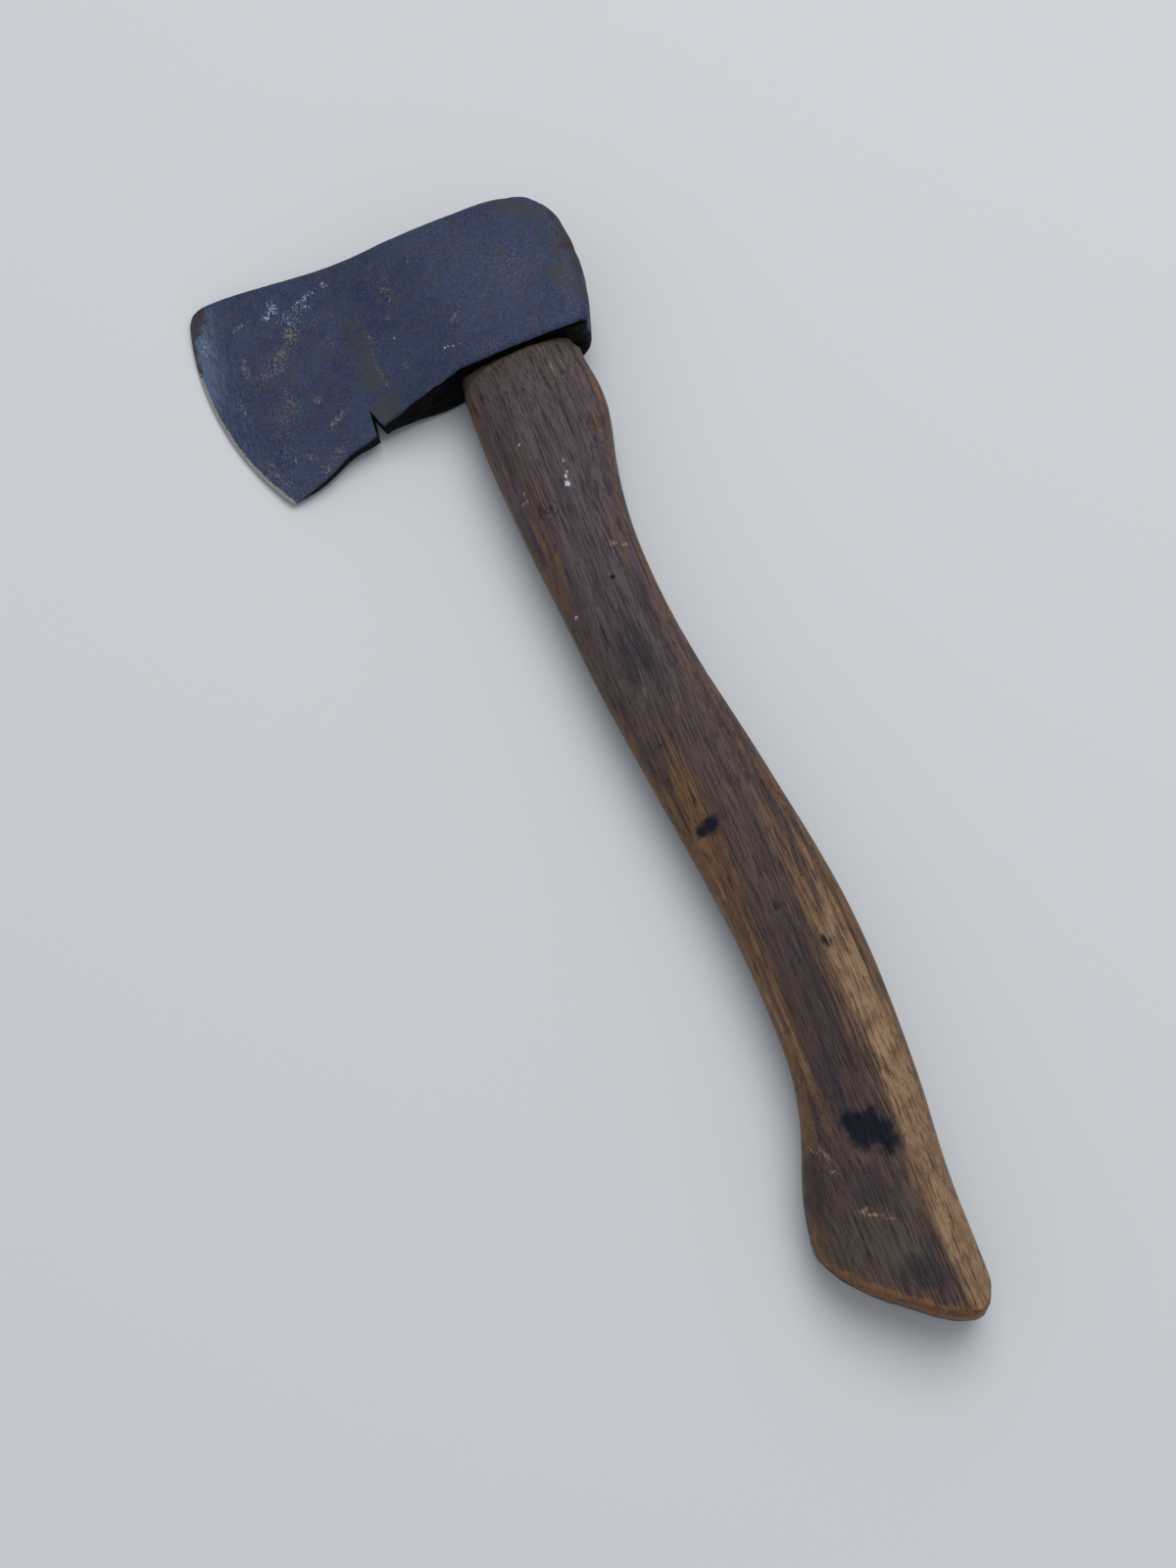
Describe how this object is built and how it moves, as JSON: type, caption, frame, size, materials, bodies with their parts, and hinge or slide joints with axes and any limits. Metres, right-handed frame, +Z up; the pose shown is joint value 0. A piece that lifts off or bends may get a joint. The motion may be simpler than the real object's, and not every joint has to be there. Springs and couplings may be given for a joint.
{
  "type": "hatchet",
  "caption": "Hatchet lying on its side: forged steel head with a nail notch in the beard, wedged on a curved one-piece hardwood handle with a flared foot cut at an angle.",
  "frame": {"origin": "on the surface that the hatchet lies on, under the middle of its box", "axes": "+Z up, +Y along the handle from its butt to the head, +X from the bit to the poll"},
  "size_m": [0.1195, 0.364, 0.0304],
  "materials": {
    "head_steel": "forged steel aged to a matte blue-black, with fine rust freckles, scratches and a worn grey bit",
    "handle_wood": "dark straight-grained hardwood, worn oil finish, orange-brown at the edges, with black stains",
    "wedge_wood": "plain hardwood end grain, darkened with age",
    "wedge_steel": "mild steel, rust-brown"
  },
  "bodies": {
    "root": {"head": "head_steel", "handle": "handle_wood", "wooden_wedge": "wedge_wood", "steel_wedge_front": "wedge_steel", "steel_wedge_rear": "wedge_steel"}
  },
  "joints": []
}
